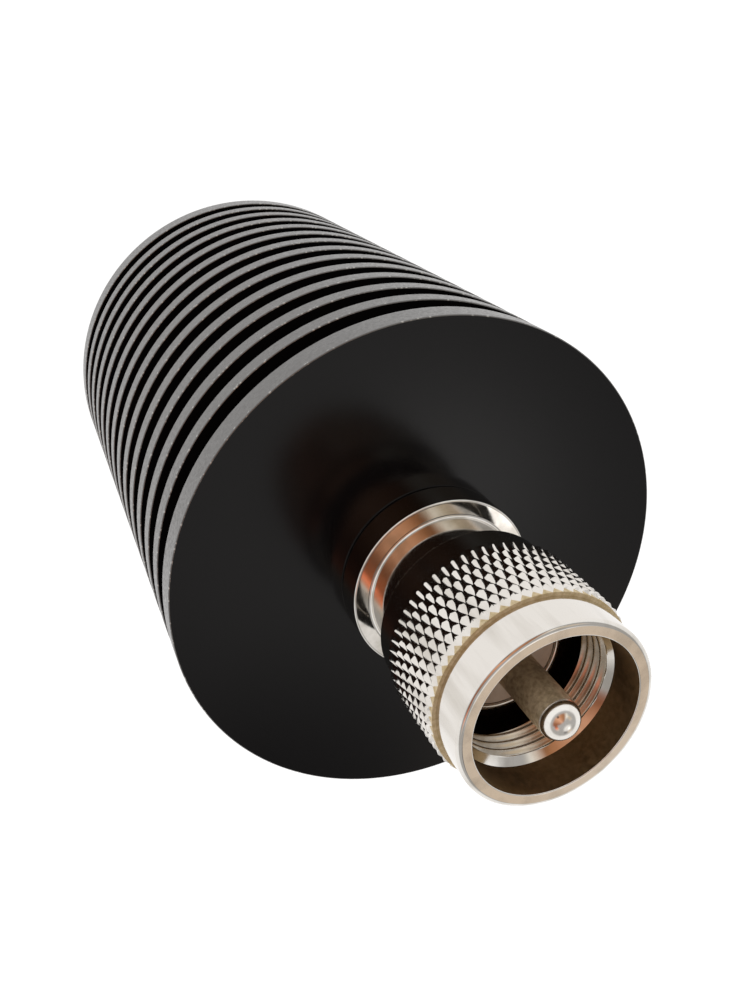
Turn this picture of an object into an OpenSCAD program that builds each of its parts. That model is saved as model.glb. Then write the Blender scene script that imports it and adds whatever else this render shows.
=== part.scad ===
// Coaxial dummy load: a finned heat sink with a screw-on coaxial plug at its front.
// The load stands on its rear plate. The plug's axis is +Z, and the origin is the
// centre of the rear face.

/* [Heat sink] */
// Diameter over the fins and the two end plates
fin_d = 56; // [48:0.5:70]
// Number of thin fins between the end plates
fin_count = 12; // [8:1:18]
// Thickness of one thin fin
fin_t = 2.25; // [1.5:0.05:3.5]
// Width of the groove between neighbouring fins
fin_gap = 3; // [2:0.1:4.5]
// Thickness of the front plate and of the rear plate
plate_t = 3.25; // [2.5:0.05:6]
// Diameter of the core that carries the fins
core_d = 32; // [24:0.5:40]
// Chamfer on the rims of the fins and plates
fin_chamfer = 0.3; // [0.1:0.05:0.6]
// Diameter of the tapped mouth in the front plate
tap_d = 16; // [15:0.1:20]
// Length of the plug's threaded spigot inside the tapped mouth
spigot_l = 13; // [8:0.5:18]
// Diameter of the blind bore behind the tapped mouth
bore_d = 14.4; // [12:0.1:14.8]
// Thickness of the metal behind the blind bore
rear_wall = 8; // [5:0.5:14]

/* [Plug body] */
// Diameter of the polished neck in front of the collar
neck_d = 16.2; // [15.6:0.1:18]
// Length of the neck, which reaches into the nut's tail
neck_l = 6.3; // [2:0.1:8]
// How far the collar stands out around the neck
collar_rim = 1.85; // [1:0.05:4]
// Thickness of the collar
collar_h = 3.6; // [2:0.1:6]
// Chamfer on the collar's edges
collar_chamfer = 0.35; // [0.1:0.05:0.6]
// Length of the journal that the nut slides along
journal_l = 4.4; // [3:0.1:10]

/* [Mating sleeve] */
// Outer diameter of the sleeve's rim
sleeve_d = 12.4; // [11.6:0.1:13]
// Wall of the sleeve's rim around the insulator
sleeve_wall = 0.6; // [0.4:0.05:1.2]
// Length of the rim in front of the retaining flange
rim_l = 1.35; // [0.8:0.05:3]
// Thickness of the retaining flange
flange_t = 1.2; // [0.8:0.05:2]
// How far the retaining flange stands out over the journal
flange_lip = 0.8; // [0.5:0.05:1.2]
// Diameter of the sleeve's spigot inside the journal
sleeve_spigot_d = 10.4; // [9.8:0.1:11]
// Length of the sleeve's spigot
sleeve_spigot_l = 5.4; // [3:0.1:8]

/* [Centre contact] */
// Diameter of the centre pin
pin_d = 3.9; // [3:0.1:5]
// Length of the pin in front of the sleeve's rim
pin_reach = 11.4; // [6:0.1:14]
// Length of the pin's domed tip
pin_tip_l = 1.8; // [0.5:0.1:2.5]
// Diameter of the flat at the end of the domed tip
tip_flat_d = 0.6; // [0.4:0.1:2.4]
// Diameter of the pin's stem behind the front insulator's face
stem_d = 3; // [2:0.1:3.6]
// Diameter of the insulators inside the plug
insulator_d = 8.3; // [7.6:0.1:9]
// How far the front insulator's face lies behind the sleeve's rim
face_recess = 0.25; // [0:0.05:1]

/* [Coupling nut] */
// Minor diameter of the coupling thread
thread_minor_d = 14.9; // [14.4:0.1:16]
// Length of the coupling thread
thread_l = 3.2; // [2:0.1:6]
// Diameter of the plain counterbore at the nut's mouth
mouth_d = 16.3; // [15.8:0.1:18]
// Depth of the plain counterbore
mouth_l = 3.85; // [2:0.05:6]
// Length of the cone between the counterbore and the thread
lead_in_l = 1.2; // [0.4:0.05:2]
// Length of the smooth relief behind the thread
relief_l = 3.2; // [1.5:0.1:6]
// Wall of the nut's lip around the counterbore
lip_wall = 1.4; // [0.8:0.05:2.5]
// Length of the plain lip in front of the knurl
lip_l = 4.2; // [2:0.05:6]
// Wall of the nut's tail around the neck
tail_wall = 1.1; // [0.7:0.05:2.5]
// Depth of the tail's wide bore, which passes over the neck
tail_bore_l = 2.65; // [1:0.05:6]
// Thickness of the two shoulders beside the retaining ring
shoulder_t = 0.7; // [0.5:0.05:1.5]
// Number of knurl teeth around the nut
knurl_teeth = 60; // [40:2:80]
// Number of rows of knurl teeth
knurl_rows = 7; // [3:1:9]
// Distance from one row of teeth to the next
knurl_row_h = 1.36; // [0.8:0.02:2]
// How far the hollows between the teeth stand out over the tail
knurl_land = 0.25; // [0.05:0.05:0.5]
// Height of the knurl teeth
knurl_depth = 0.45; // [0.2:0.05:0.9]

/* [Retaining ring] */
// Radial width of the split retaining ring
ring_w = 1.5; // [1:0.05:2]
// Thickness of the retaining ring
ring_t = 1.2; // [0.8:0.05:2]
// Width of the ring's split
ring_split = 2; // [0.5:0.1:4]

/* [Load resistor] */
// Outer diameter of the ceramic tube that carries the resistive film
resistor_d = 8.2; // [6:0.1:9]
// Bore of the ceramic tube
resistor_bore_d = 4.4; // [2:0.1:5]
// Wall of the metal caps at the ends of the tube
cap_wall = 0.45; // [0.3:0.05:0.8]
// How far a cap reaches over the tube
cap_l = 6; // [3:0.1:8]
// Thickness of the caps' end webs
cap_web = 1; // [0.6:0.1:2]
// Diameter of the caps' stubs
stub_d = 5; // [4.4:0.1:6]
// Length of the input cap's socket for the pin's stem
socket_l = 7; // [4:0.1:10]
// Room left under the stem at the bottom of that socket
stem_gap = 0.6; // [0.2:0.1:2]
// Height of the stack of spring washers behind the resistor
spring_h = 8; // [5:0.1:12]
// Number of spring washers
washer_count = 4; // [2:1:8]
// Thickness of one spring washer
washer_t = 0.6; // [0.3:0.05:1]

/* [Fits] */
// Radial clearance of a piece that is screwed, pressed or slid into its seat
fit = 0.05; // [0.02:0.01:0.1]
// Radial clearance of the retaining ring on the journal
ring_fit = 0.08; // [0.05:0.01:0.1]
// Axial play of the retaining ring in the nut's groove
ring_play = 0.1; // [0.05:0.05:0.3]
// Radial clearance between the nut and the plug where the nut slides
slide_clear = 0.3; // [0.2:0.05:0.6]

/* [Hidden] */
$fn = 96;
// Small chamfer on the plated pieces' edges
edge = 0.3;
// How far a cut runs past the faces that it opens
over = 1;
// Hairline between spring washers that meet along their rims
hair = 0.01;
// Room in the tapped mouth past the end of the spigot
tap_runout = 1;
// Width and depth of the undercut where the spigot meets the collar
undercut_w = 1;
undercut_t = 0.6;
// Fillet between the collar's front face and the neck
neck_fillet = 0.25;
// Gap between the retaining ring and the flange that stops it
ring_gap = 0.05;
// Chamfer inside the nut's mouth
mouth_edge = 0.12;
// Depth to which the knurled band is rooted in the nut's wall
knurl_root_l = 0.2;

// Levels of the heat sink, upwards from the rear face
fin_pitch = fin_t + fin_gap;
body_l = 2 * plate_t + fin_count * fin_pitch + fin_gap;
tap_z = body_l - spigot_l - tap_runout;

// Levels of the plug, upwards from the front plate
collar_z = body_l + collar_h;
neck_z = collar_z + neck_l;
journal_z = neck_z + journal_l;
flange_z = journal_z + flange_t;
rim_z = flange_z + rim_l;
seat_z = journal_z + flange_t / 2;
face_z = rim_z - face_recess;
sleeve_z = journal_z - sleeve_spigot_l;
spigot_z = body_l - spigot_l;
tip_z = rim_z + pin_reach;

// Diameters of the plug
collar_d = neck_d + 2 * collar_rim;
flange_d = thread_minor_d - 2 * slide_clear;
journal_d = flange_d - 2 * flange_lip;
cup_d = sleeve_d - 2 * sleeve_wall;
spigot_d = tap_d - 2 * fit;
plug_bore_d = insulator_d + 2 * fit;

// Retaining ring at the forward end of its slide
ring_in_d = journal_d + 2 * ring_fit;
ring_out_d = ring_in_d + 2 * ring_w;
ring_z = journal_z - ring_gap - ring_t;

// Levels of the nut, upwards from its rear rim
nut_z = ring_z - ring_play - shoulder_t - tail_bore_l;
groove_z = nut_z + tail_bore_l + shoulder_t;
groove_top_z = groove_z + ring_t + 2 * ring_play;
relief_z = groove_top_z + shoulder_t;
thread_z = relief_z + relief_l;
lead_in_z = thread_z + thread_l;
mouth_z = lead_in_z + lead_in_l;
nut_top_z = mouth_z + mouth_l;
lip_z = nut_top_z - lip_l;

// Diameters of the nut
tail_bore_d = neck_d + 2 * slide_clear;
tail_d = tail_bore_d + 2 * tail_wall;
shoulder_d = journal_d + 4 * slide_clear;
groove_d = ring_out_d + 2 * slide_clear;
relief_d = max(mouth_d, groove_d);
lip_d = mouth_d + 2 * lip_wall;
knurl_root_d = tail_d + 2 * knurl_land;
knurl_tip_d = knurl_root_d + 2 * knurl_depth;

// The knurl lies right behind the lip
knurl_l = knurl_rows * knurl_row_h;
knurl_z = lip_z - knurl_l;

// Load resistor, from the plug's rear end down to the spring washers
cap_d = resistor_d + 2 * fit + 2 * cap_wall;
liner_bore_d = cap_d + 4 * fit;
input_z = spigot_z - socket_l;
stem_z = input_z + stem_gap;
tube_top_z = input_z - cap_web;
tube_z = rear_wall + spring_h + cap_web;
ground_z = rear_wall + spring_h;

// Solid of revolution about +Z from a list of [radius, height] points
module turned(outline) {
    rotate_extrude() polygon(outline);
}

// Rim of a disc from z0 to z1, chamfered at both edges
function rim(r, z0, z1, c) = [[r - c, z0], [r, z0 + c], [r, z1 - c], [r - c, z1]];

// One finned bar, bored from the front for the plug and the load resistor
module heat_sink() {
    r = fin_d / 2;
    core_r = core_d / 2;
    color([0.11, 0.105, 0.11])
    turned(concat(
        [[0, 0]],
        rim(r, 0, plate_t, fin_chamfer),
        [for (i = [0 : fin_count - 1])
            let (z = plate_t + fin_gap + i * fin_pitch)
            each concat([[core_r, z - fin_gap], [core_r, z]], rim(r, z, z + fin_t, fin_chamfer))],
        [[core_r, body_l - plate_t - fin_gap], [core_r, body_l - plate_t]],
        rim(r, body_l - plate_t, body_l, fin_chamfer),
        [[tap_d / 2, body_l], [tap_d / 2, tap_z], [bore_d / 2, tap_z],
         [bore_d / 2, rear_wall], [0, rear_wall]]));
}

// Insulating tube that carries the resistor's heat to the heat sink
module ceramic_liner() {
    color([0.93, 0.92, 0.88])
    translate([0, 0, rear_wall])
    difference() {
        cylinder(d = bore_d - 2 * fit, h = tap_z - rear_wall);
        translate([0, 0, -over])
        cylinder(d = liner_bore_d, h = tap_z - rear_wall + 2 * over);
    }
}

// Ceramic tube with the resistive film on it
module resistor_tube() {
    color([0.30, 0.24, 0.20])
    translate([0, 0, tube_z])
    difference() {
        cylinder(d = resistor_d, h = tube_top_z - tube_z);
        translate([0, 0, -over])
        cylinder(d = resistor_bore_d, h = tube_top_z - tube_z + 2 * over);
    }
}

// Cap with a socket that takes the pin's stem
module input_cap() {
    r = resistor_d / 2 + fit;
    bottom = tube_top_z - cap_l;
    color([0.80, 0.78, 0.72])
    turned([[r, bottom], [cap_d / 2, bottom], [cap_d / 2, input_z], [stub_d / 2, input_z],
            [stub_d / 2, spigot_z], [stem_d / 2 + fit, spigot_z],
            [stem_d / 2 + fit, input_z], [0, input_z], [0, tube_top_z], [r, tube_top_z]]);
}

// Cap whose stub centres the spring washers
module ground_cap() {
    r = resistor_d / 2 + fit;
    color([0.80, 0.78, 0.72])
    turned([[0, rear_wall + spring_h / 4], [stub_d / 2, rear_wall + spring_h / 4],
            [stub_d / 2, ground_z], [cap_d / 2, ground_z], [cap_d / 2, tube_z + cap_l],
            [r, tube_z + cap_l], [r, tube_z], [0, tube_z]]);
}

// Stack of conical washers that presses the resistor forward and grounds it
module spring_washers() {
    step = spring_h / washer_count;
    rise = step - washer_t;
    r0 = stub_d / 2 + 2 * fit;
    r1 = cap_d / 2;
    color([0.62, 0.62, 0.64])
    for (i = [0 : washer_count - 1])
        translate([0, 0, rear_wall + i * step])
        turned(i % 2 == 0
            ? [[r0, rise], [r1, 0], [r1, washer_t - hair], [r0, step - hair]]
            : [[r0, 0], [r1, rise], [r1, step - hair], [r0, washer_t - hair]]);
}

// Turned plug body: spigot, collar, neck and journal in one piece
module plug_body() {
    bore_r = plug_bore_d / 2;
    front_r = sleeve_spigot_d / 2 + fit;
    undercut_r = spigot_d / 2 - undercut_t;
    color([0.80, 0.79, 0.77])
    turned(concat(
        [[bore_r, spigot_z], [spigot_d / 2 - edge, spigot_z], [spigot_d / 2, spigot_z + edge],
         [spigot_d / 2, body_l - undercut_w - undercut_t], [undercut_r, body_l - undercut_w],
         [undercut_r, body_l]],
        rim(collar_d / 2, body_l, collar_z, collar_chamfer),
        [for (a = [0 : 15 : 90])
            [neck_d / 2 + neck_fillet * (1 - sin(a)), collar_z + neck_fillet * (1 - cos(a))]],
        [[neck_d / 2, neck_z - edge], [neck_d / 2 - edge, neck_z],
         [journal_d / 2, neck_z], [journal_d / 2, journal_z], [front_r, journal_z],
         [front_r, sleeve_z - 2 * fit], [bore_r, sleeve_z - 2 * fit]]));
}

// Front sleeve, whose flange stops the retaining ring
module mating_sleeve() {
    bore_r = plug_bore_d / 2;
    r = sleeve_d / 2;
    color([0.80, 0.79, 0.77])
    turned([[bore_r, sleeve_z], [sleeve_spigot_d / 2, sleeve_z],
            [sleeve_spigot_d / 2, journal_z], [flange_d / 2, journal_z],
            [flange_d / 2, flange_z - edge], [flange_d / 2 - edge, flange_z], [r, flange_z],
            [r, rim_z - edge / 2], [r - edge / 2, rim_z], [cup_d / 2, rim_z],
            [cup_d / 2, seat_z], [bore_r, seat_z]]);
}

// Glossy bead that seats in the sleeve and backs the pin's shoulder
module front_insulator() {
    bore_r = stem_d / 2 + fit;
    color([0.40, 0.36, 0.32])
    turned([[bore_r, sleeve_z], [insulator_d / 2, sleeve_z], [insulator_d / 2, seat_z],
            [cup_d / 2 - fit, seat_z], [cup_d / 2 - fit, face_z], [bore_r, face_z]]);
}

// Long bead around the pin's stem inside the plug body
module rear_insulator() {
    bore_r = stem_d / 2 + fit;
    color([0.92, 0.92, 0.90])
    turned([[bore_r, spigot_z], [insulator_d / 2, spigot_z],
            [insulator_d / 2, sleeve_z], [bore_r, sleeve_z]]);
}

// Centre pin with a domed tip, a shoulder on the insulator and a long stem
module centre_pin() {
    r = pin_d / 2;
    flat_r = tip_flat_d / 2;
    color([0.70, 0.67, 0.62])
    turned(concat(
        [[0, stem_z], [stem_d / 2, stem_z], [stem_d / 2, face_z], [r, face_z]],
        [for (a = [0 : 15 : 90])
            [flat_r + (r - flat_r) * cos(a), tip_z - pin_tip_l * (1 - sin(a))]],
        [[0, tip_z]]));
}

// Split ring that rides in the nut's groove and slides along the journal
module nut_retaining_ring() {
    color([0.72, 0.70, 0.66])
    translate([0, 0, ring_z])
    difference() {
        cylinder(d = ring_out_d, h = ring_t);
        translate([0, 0, -over])
        cylinder(d = ring_in_d, h = ring_t + 2 * over);
        translate([0, -ring_split / 2, -over])
        cube([ring_out_d, ring_split, ring_t + 2 * over]);
    }
}

// Radius of knurl point i in row j: teeth and hollows take turns along and across the rows
function knurl_r(i, j) = (i + j) % 2 == 0 ? knurl_tip_d / 2 : knurl_root_d / 2;

// Band of four-sided teeth around the nut, closed inside at radius inner_r
module knurl_band(inner_r) {
    n = 2 * knurl_teeth;
    last = knurl_rows + 1;
    levels = [0, for (j = [0 : knurl_rows - 1]) (j + 0.5) * knurl_row_h, knurl_l];
    points = concat(
        [for (j = [0 : last], i = [0 : n - 1])
            let (r = j == 0 || j == last ? knurl_root_d / 2 : knurl_r(i, j), a = 360 * i / n)
            [r * cos(a), r * sin(a), levels[j]]],
        [for (z = [0, knurl_l], i = [0 : n - 1])
            [inner_r * cos(360 * i / n), inner_r * sin(360 * i / n), z]]);
    inner = (last + 1) * n;
    sides = [for (j = [0 : last - 1], i = [0 : n - 1])
        let (k = (i + 1) % n, a = j * n + i, b = j * n + k, c = a + n, d = b + n)
        each (i + j) % 2 == 0 ? [[a, c, b], [b, c, d]] : [[a, c, d], [a, d, b]]];
    ends = [for (i = [0 : n - 1])
        let (k = (i + 1) % n, p = inner + i, q = inner + k)
        each [[i, k, q], [i, q, p], [p, q, q + n], [p, q + n, p + n],
              [p + n, q + n, last * n + k], [p + n, last * n + k, last * n + i]]];
    translate([0, 0, knurl_z])
    polyhedron(points = points, faces = concat(sides, ends));
}

// Knurled nut with a threaded mouth, turning on the retaining ring
module coupling_nut() {
    shell_top = lip_z - knurl_row_h / 4;
    outline = [
        [tail_bore_d / 2, nut_z], [tail_d / 2 - edge, nut_z], [tail_d / 2, nut_z + edge],
        [tail_d / 2, shell_top], [lip_d / 2, shell_top], [lip_d / 2, nut_top_z - edge],
        [lip_d / 2 - edge, nut_top_z], [mouth_d / 2 + mouth_edge, nut_top_z],
        [mouth_d / 2, nut_top_z - mouth_edge], [mouth_d / 2, mouth_z],
        [thread_minor_d / 2, lead_in_z], [thread_minor_d / 2, thread_z],
        [relief_d / 2, thread_z], [relief_d / 2, relief_z],
        [thread_minor_d / 2, relief_z], [thread_minor_d / 2, groove_top_z],
        [groove_d / 2, groove_top_z], [groove_d / 2, groove_z],
        [shoulder_d / 2, groove_z], [shoulder_d / 2, groove_z - shoulder_t],
        [tail_bore_d / 2, groove_z - shoulder_t]];
    color([0.82, 0.81, 0.79])
    union() {
        turned(outline);
        knurl_band(min(tail_d, lip_d) / 2 - knurl_root_l);
    }
}

heat_sink();
ceramic_liner();
resistor_tube();
input_cap();
ground_cap();
spring_washers();
plug_body();
mating_sleeve();
front_insulator();
rear_insulator();
centre_pin();
nut_retaining_ring();
coupling_nut();
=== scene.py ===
"""Looks of a finned coaxial dummy load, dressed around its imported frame.

The load stands on its rear plate with the plug's axis along +Z. Fields that describe the object are in
millimetres, and meshes are in metres, in the frame's own coordinates.
"""

import logging
import math
from collections.abc import Iterable
from dataclasses import dataclass
from enum import Enum

import bmesh
import bpy
from bpy.types import Material, Node, NodeSocket, NodeTree, Object
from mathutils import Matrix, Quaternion, Vector


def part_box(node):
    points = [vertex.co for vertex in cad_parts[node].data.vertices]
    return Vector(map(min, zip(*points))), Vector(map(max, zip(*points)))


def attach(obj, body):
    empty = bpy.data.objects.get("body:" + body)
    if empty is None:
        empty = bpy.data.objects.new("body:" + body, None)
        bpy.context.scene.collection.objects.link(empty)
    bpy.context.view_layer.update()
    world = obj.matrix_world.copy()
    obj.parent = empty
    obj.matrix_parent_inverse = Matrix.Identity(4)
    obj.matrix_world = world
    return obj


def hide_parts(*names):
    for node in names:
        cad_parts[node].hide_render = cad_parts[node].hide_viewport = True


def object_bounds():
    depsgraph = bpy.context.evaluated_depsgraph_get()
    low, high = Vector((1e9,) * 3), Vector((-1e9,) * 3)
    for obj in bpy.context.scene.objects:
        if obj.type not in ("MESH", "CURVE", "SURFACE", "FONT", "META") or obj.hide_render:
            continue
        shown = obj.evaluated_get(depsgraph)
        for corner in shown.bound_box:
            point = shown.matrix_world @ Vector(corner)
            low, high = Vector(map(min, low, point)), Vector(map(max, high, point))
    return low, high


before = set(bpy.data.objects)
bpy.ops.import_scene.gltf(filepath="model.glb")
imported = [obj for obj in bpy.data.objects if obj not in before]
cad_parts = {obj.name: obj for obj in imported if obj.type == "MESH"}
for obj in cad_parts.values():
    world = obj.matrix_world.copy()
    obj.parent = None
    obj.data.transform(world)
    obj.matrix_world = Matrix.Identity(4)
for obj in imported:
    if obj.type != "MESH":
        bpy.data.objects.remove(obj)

MM = 0.001
CAD_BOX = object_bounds()
LOG = logging.getLogger("dummy_load")


class Body(Enum):
    """Bodies of the frame that pieces ride on."""

    LOAD = "load"
    NUT = "nut"


class Slot(Enum):
    """Material slots of the record that new pieces stand for."""

    ANODISED = "black_anodised"
    NICKEL = "nickel_plate"
    PIN = "pin_plate"
    PHENOLIC = "phenolic"


# Sharpest angle in degrees between two faces that still shade as one surface
SHARP_DEG = 38.0

# Distance in millimetres from the end of a rounding to the point that holds the flat face beside it
HOLD = 0.03

# Distance in millimetres within which two measures count as the same
NEAR = 0.02

# Height in millimetres of the marks that a turning tool leaves
TOOL_MARK = 0.02

# Values that most of a noise texture lies between
NOISE_SPAN = (0.3, 0.7)


def linear(code: str) -> tuple[float, float, float, float]:
    """Turns an sRGB hex colour into linear RGBA.

    Args:
        code: Six hex digits after a hash sign.

    Returns:
        Red, green, blue and an alpha of one.
    """
    shares = [int(code[i : i + 2], 16) / 255 for i in (1, 3, 5)]
    curve = [s / 12.92 if s <= 0.04045 else ((s + 0.055) / 1.055) ** 2.4 for s in shares]
    return (curve[0], curve[1], curve[2], 1.0)


def per_metre(size_mm: float) -> float:
    """Scale of a texture whose features are size_mm wide."""
    return 1.0 / (size_mm * MM)


def add_node(
    tree: NodeTree, kind: str, inputs: dict[str | int, object] | None = None, **settings: object
) -> Node:
    """Adds one shader node.

    Args:
        tree: Tree that gets the node.
        kind: Node type, such as ShaderNodeBump.
        inputs: Input name or number, with a socket to link or a constant to set.
        settings: Attributes of the node.

    Returns:
        The new node.
    """
    node = tree.nodes.new(kind)
    for name, value in settings.items():
        setattr(node, name, value)
    for name, value in (inputs or {}).items():
        if isinstance(value, NodeSocket):
            tree.links.new(value, node.inputs[name])
        else:
            node.inputs[name].default_value = value
    return node


def paint(ramp: Node, stops: list[tuple[float, str]]) -> None:
    """Sets the stops of a colour ramp.

    Args:
        ramp: Colour ramp node that still has its first two stops.
        stops: Places from zero to one in rising order, each with its hex colour.
    """
    elements = ramp.color_ramp.elements
    elements[0].position, elements[1].position = stops[0][0], stops[-1][0]
    for at, _ in stops[1:-1]:
        elements.new(at)
    for element, (_, code) in zip(elements, stops):
        element.color = linear(code)


@dataclass(frozen=True)
class Finish:
    """A surface finish: what the material is and how it was made."""

    name: str
    colour: str

    def material(self) -> Material:
        """Builds the material once and returns it on every call.

        Returns:
            The finish's node material.
        """
        found = bpy.data.materials.get(self.name)
        if found is not None:
            return found
        made = bpy.data.materials.new(self.name)
        made.use_nodes = True
        made.node_tree.nodes.clear()
        shader = add_node(made.node_tree, "ShaderNodeBsdfPrincipled", {"Base Color": linear(self.colour)})
        add_node(made.node_tree, "ShaderNodeOutputMaterial", {"Surface": shader.outputs["BSDF"]})
        place = add_node(made.node_tree, "ShaderNodeTexCoord").outputs["Object"]
        self.dress(made.node_tree, shader, place)
        made.diffuse_color = linear(self.colour)
        return made

    def dress(self, tree: NodeTree, shader: Node, place: NodeSocket) -> None:
        """Adds what sets this finish apart.

        Args:
            tree: The material's node tree.
            shader: Its Principled shader.
            place: Object coordinates.
        """
        raise NotImplementedError

    def turning_lines(self, tree: NodeTree, place: NodeSocket, spacing_mm: float) -> NodeSocket:
        """Grey lines round the axis, as a lathe leaves them.

        Args:
            tree: Tree that gets the nodes.
            place: Object coordinates.
            spacing_mm: Distance between neighbouring lines.

        Returns:
            A value that differs with height and with distance from the axis only.
        """
        parts = add_node(tree, "ShaderNodeSeparateXYZ", {0: place})
        flat = add_node(tree, "ShaderNodeCombineXYZ", {0: parts.outputs["X"], 1: parts.outputs["Y"]})
        radius = add_node(tree, "ShaderNodeVectorMath", {0: flat.outputs[0]}, operation="LENGTH")
        section = add_node(tree, "ShaderNodeCombineXYZ", {0: radius.outputs["Value"], 1: parts.outputs["Z"]})
        lines = {"Vector": section.outputs[0], "Scale": per_metre(spacing_mm), "Detail": 2.0}
        return add_node(tree, "ShaderNodeTexNoise", lines).outputs["Fac"]


@dataclass(frozen=True)
class NickelPlate(Finish):
    """Bright nickel over turned brass.

    It mirrors the room with a warm tint, blurred a little by faint turning lines and by patches of haze.
    """

    streak: str = "#c9c4bc"
    roughness: tuple[float, float] = (0.05, 0.13)
    streak_mm: float = 2.4
    streak_stretch: float = 8.0
    line_mm: float = 0.09
    line_bump: float = 0.035

    def dress(self, tree: NodeTree, shader: Node, place: NodeSocket) -> None:
        """Adds the hazy, slightly darker streaks along the axis and the turning lines.

        Args:
            tree: The material's node tree.
            shader: Its Principled shader.
            place: Object coordinates.
        """
        slow = (1.0, 1.0, 1.0 / self.streak_stretch)
        along = add_node(tree, "ShaderNodeVectorMath", {0: place, 1: slow}, operation="MULTIPLY")
        haze = {"Vector": along.outputs[0], "Scale": per_metre(self.streak_mm), "Detail": 4.0}
        streaks = add_node(tree, "ShaderNodeTexNoise", haze).outputs["Fac"]
        low, high = self.roughness
        span = {"Value": streaks, 1: NOISE_SPAN[0], 2: NOISE_SPAN[1], 3: high, 4: low}
        blur = add_node(tree, "ShaderNodeMapRange", span)
        ramp = add_node(tree, "ShaderNodeValToRGB", {"Fac": streaks})
        paint(ramp, [(0.36, self.streak), (0.56, self.colour)])
        tree.links.new(ramp.outputs["Color"], shader.inputs["Base Color"])
        lines = self.turning_lines(tree, place, self.line_mm)
        grain = {"Height": lines, "Strength": self.line_bump, "Distance": TOOL_MARK * MM}
        bump = add_node(tree, "ShaderNodeBump", grain)
        shader.inputs["Metallic"].default_value = 1.0
        tree.links.new(blur.outputs["Result"], shader.inputs["Roughness"])
        tree.links.new(bump.outputs["Normal"], shader.inputs["Normal"])


@dataclass(frozen=True)
class BlackAnodising(Finish):
    """Black dyed anodised aluminium, turned.

    It is a soft satin black: a grainy oxide skin over turning lines, with a few specks of dust.
    """

    roughness: tuple[float, float] = (0.13, 0.2)
    grain_mm: float = 0.12
    line_mm: float = 0.16
    dust_cell_mm: float = 7.0
    dust_mm: float = 0.14
    dust_colour: str = "#8f8a84"
    sheen: float = 0.18
    line_bump: float = 0.12
    grain_bump: float = 0.1
    grain_h_mm: float = 0.03

    def dress(self, tree: NodeTree, shader: Node, place: NodeSocket) -> None:
        """Adds the oxide's grain, the turning lines and the dust.

        Args:
            tree: The material's node tree.
            shader: Its Principled shader.
            place: Object coordinates.
        """
        oxide = {"Vector": place, "Scale": per_metre(self.grain_mm), "Detail": 3.0}
        grain = add_node(tree, "ShaderNodeTexNoise", oxide).outputs["Fac"]
        low, high = self.roughness
        blur = add_node(tree, "ShaderNodeMapRange", {"Value": grain, 3: low, 4: high})
        lines = self.turning_lines(tree, place, self.line_mm)
        marks = {"Height": lines, "Strength": self.line_bump, "Distance": TOOL_MARK * MM}
        ridges = add_node(tree, "ShaderNodeBump", marks).outputs["Normal"]
        skin = {"Height": grain, "Strength": self.grain_bump, "Distance": self.grain_h_mm * MM}
        bump = add_node(tree, "ShaderNodeBump", {**skin, "Normal": ridges})
        cells = {"Vector": place, "Scale": per_metre(self.dust_cell_mm)}
        speck = add_node(tree, "ShaderNodeTexVoronoi", cells, feature="F1").outputs["Distance"]
        reach = self.dust_mm / self.dust_cell_mm / 2
        near = add_node(tree, "ShaderNodeMath", {0: speck, 1: reach}, operation="LESS_THAN")
        shades = {0: near.outputs[0], 6: linear(self.colour), 7: linear(self.dust_colour)}
        mix = add_node(tree, "ShaderNodeMix", shades, data_type="RGBA")
        tree.links.new(mix.outputs[2], shader.inputs["Base Color"])
        tree.links.new(blur.outputs["Result"], shader.inputs["Roughness"])
        tree.links.new(bump.outputs["Normal"], shader.inputs["Normal"])
        shader.inputs["Specular IOR Level"].default_value = self.sheen


@dataclass(frozen=True)
class BurnishedRim(Finish):
    """Turned rims of the fins, where the black skin is thin and rubbed.

    They catch the light of the table as grey bands with small glints along the turning marks.
    """

    roughness: tuple[float, float] = (0.26, 0.42)
    glint_mm: float = 0.35
    glint_span: tuple[float, float] = (0.35, 0.65)
    line_mm: float = 0.12
    line_bump: float = 0.2
    dent_bump: float = 0.25
    dent_h_mm: float = 0.05

    def dress(self, tree: NodeTree, shader: Node, place: NodeSocket) -> None:
        """Adds the glints and the turning lines.

        Args:
            tree: The material's node tree.
            shader: Its Principled shader.
            place: Object coordinates.
        """
        spots = {"Vector": place, "Scale": per_metre(self.glint_mm), "Detail": 2.0}
        glints = add_node(tree, "ShaderNodeTexNoise", spots).outputs["Fac"]
        low, high = self.roughness
        span = {"Value": glints, 1: self.glint_span[0], 2: self.glint_span[1], 3: low, 4: high}
        blur = add_node(tree, "ShaderNodeMapRange", span)
        lines = self.turning_lines(tree, place, self.line_mm)
        marks = {"Height": lines, "Strength": self.line_bump, "Distance": TOOL_MARK * MM}
        ridges = add_node(tree, "ShaderNodeBump", marks).outputs["Normal"]
        dents = {"Height": glints, "Strength": self.dent_bump, "Distance": self.dent_h_mm * MM}
        bump = add_node(tree, "ShaderNodeBump", {**dents, "Normal": ridges})
        shader.inputs["Metallic"].default_value = 1.0
        tree.links.new(blur.outputs["Result"], shader.inputs["Roughness"])
        tree.links.new(bump.outputs["Normal"], shader.inputs["Normal"])


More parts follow.
